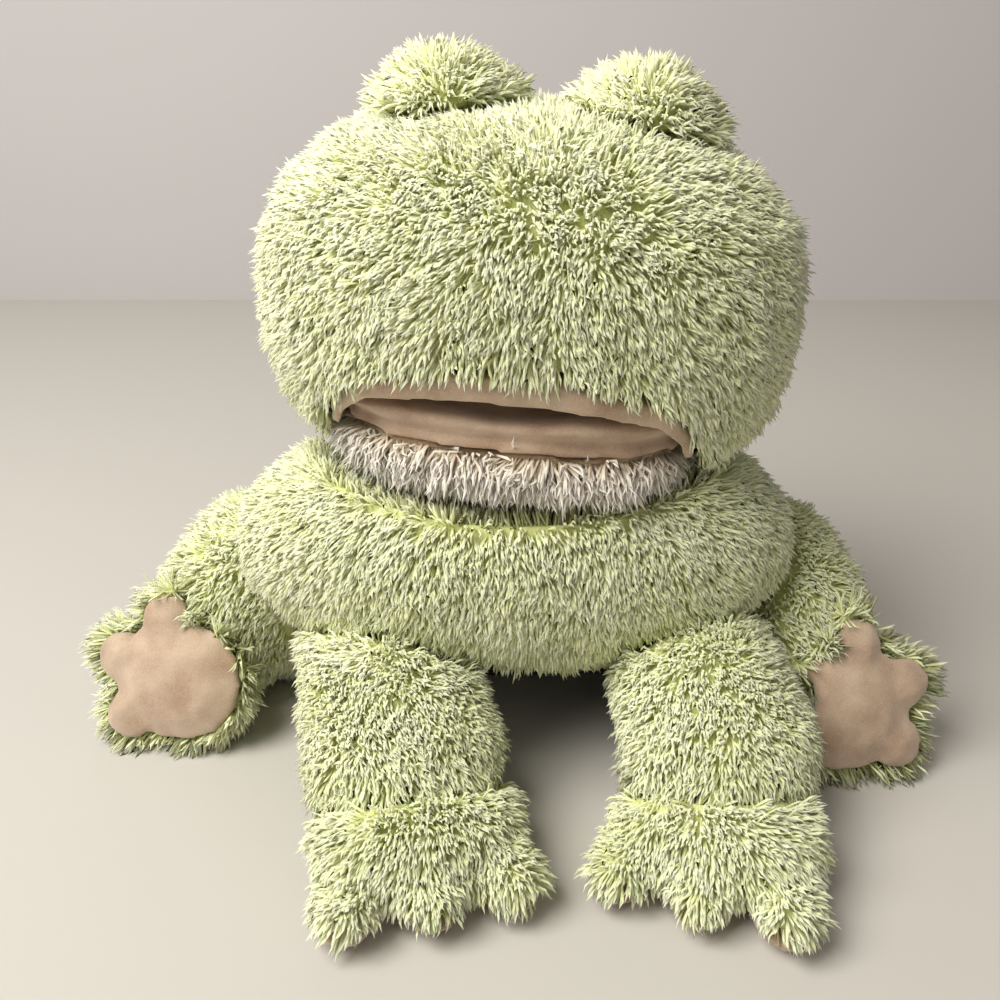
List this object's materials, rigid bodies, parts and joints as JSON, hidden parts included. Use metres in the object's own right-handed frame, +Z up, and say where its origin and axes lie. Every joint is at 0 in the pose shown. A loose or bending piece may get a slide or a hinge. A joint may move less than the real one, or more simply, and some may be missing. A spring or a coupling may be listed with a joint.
{
  "type": "frog hand puppet",
  "caption": "Sitting plush frog hand puppet: wide head with eye bumps, hinged velour-lined mouth over finger and thumb pockets, hollow body open below, swinging stuffed arms and legs",
  "frame": {"origin": "centre of the bounding box on the floor the puppet sits on", "axes": "+X to the puppet's own left, +Y to its back (it looks along -Y), +Z up"},
  "size_m": [0.3378, 0.2456, 0.2642],
  "materials": {
    "green_plush": "matte",
    "cream_plush": "matte",
    "velour": "matte",
    "lining": "matte",
    "stuffing": "matte",
    "eye_plastic": "gloss",
    "washer_plastic": "satin"
  },
  "bodies": {
    "torso": {"body_front": "green_plush", "body_back": "green_plush", "hand_hole_hem": "lining", "bib_stuffing": "stuffing", "sleeve_lining": "lining"},
    "neck": {"neck_collar": "green_plush"},
    "jaw": {"jaw_cover": "cream_plush", "lower_palate": "velour", "jaw_stuffing": "stuffing", "thumb_pocket": "lining"},
    "head": {"head_cover": "green_plush", "head_stuffing": "stuffing", "finger_pocket": "lining", "upper_palate": "velour", "eye_bump_left": "green_plush", "eye_bump_stuffing_left": "stuffing", "eye_left": "eye_plastic", "eye_washer_left": "washer_plastic", "eye_bump_right": "green_plush", "eye_bump_stuffing_right": "stuffing", "eye_right": "eye_plastic", "eye_washer_right": "washer_plastic"},
    "arm_left": {"arm_left": "green_plush", "arm_stuffing_left": "stuffing"},
    "hand_left": {"hand_left": "green_plush", "palm_left": "velour", "hand_stuffing_left": "stuffing"},
    "leg_left": {"leg_left": "green_plush", "leg_stuffing_left": "stuffing"},
    "foot_left": {"foot_left": "green_plush", "sole_left": "velour", "foot_stuffing_left": "stuffing"},
    "arm_right": {"arm_right": "green_plush", "arm_stuffing_right": "stuffing"},
    "hand_right": {"hand_right": "green_plush", "palm_right": "velour", "hand_stuffing_right": "stuffing"},
    "leg_right": {"leg_right": "green_plush", "leg_stuffing_right": "stuffing"},
    "foot_right": {"foot_right": "green_plush", "sole_right": "velour", "foot_stuffing_right": "stuffing"}
  },
  "joints": [
    {"name": "neck_turn", "type": "hinge", "parent": "torso", "child": "neck", "pos_m": [0.00393, 0.03579, 0.104], "axis": [0, 0, 1], "range_deg": [-20, 20]},
    {"name": "neck_nod", "type": "hinge", "parent": "neck", "child": "jaw", "pos_m": [0.00393, 0.03579, 0.104], "axis": [-0.9931, 0.0869, 0.0785], "range_deg": [0, 12]},
    {"name": "mouth_open", "type": "hinge", "parent": "jaw", "child": "head", "pos_m": [0.0102, 0.06334, 0.15285], "axis": [-0.9931, 0.0869, 0.0785], "range_deg": [0, 35]},
    {"name": "arm_swing_left", "type": "hinge", "parent": "torso", "child": "arm_left", "pos_m": [0.06593, 0.00779, 0.088], "axis": [-1, 0, 0], "range_deg": [0, 30]},
    {"name": "wrist_lift_left", "type": "hinge", "parent": "arm_left", "child": "hand_left", "pos_m": [0.07893, -0.06221, 0.031], "axis": [-0.9397, 0.342, 0], "range_deg": [0, 20]},
    {"name": "leg_swing_left", "type": "hinge", "parent": "torso", "child": "leg_left", "pos_m": [0.08393, 0.05379, 0.042], "axis": [0, 0, 1], "range_deg": [-6, 20]},
    {"name": "ankle_turn_left", "type": "hinge", "parent": "leg_left", "child": "foot_left", "pos_m": [0.12893, -0.00321, 0.02], "axis": [0, 0, 1], "range_deg": [-12, 12]},
    {"name": "arm_swing_right", "type": "hinge", "parent": "torso", "child": "arm_right", "pos_m": [-0.05207, 0.00779, 0.088], "axis": [-1, 0, 0], "range_deg": [0, 30]},
    {"name": "wrist_lift_right", "type": "hinge", "parent": "arm_right", "child": "hand_right", "pos_m": [-0.03507, -0.06221, 0.031], "axis": [-0.9703, -0.2419, 0], "range_deg": [0, 20]},
    {"name": "leg_swing_right", "type": "hinge", "parent": "torso", "child": "leg_right", "pos_m": [-0.07507, 0.05379, 0.042], "axis": [0, 0, -1], "range_deg": [-6, 20]},
    {"name": "ankle_turn_right", "type": "hinge", "parent": "leg_right", "child": "foot_right", "pos_m": [-0.12907, 0.01579, 0.02], "axis": [0, 0, 1], "range_deg": [-12, 12]}
  ]
}
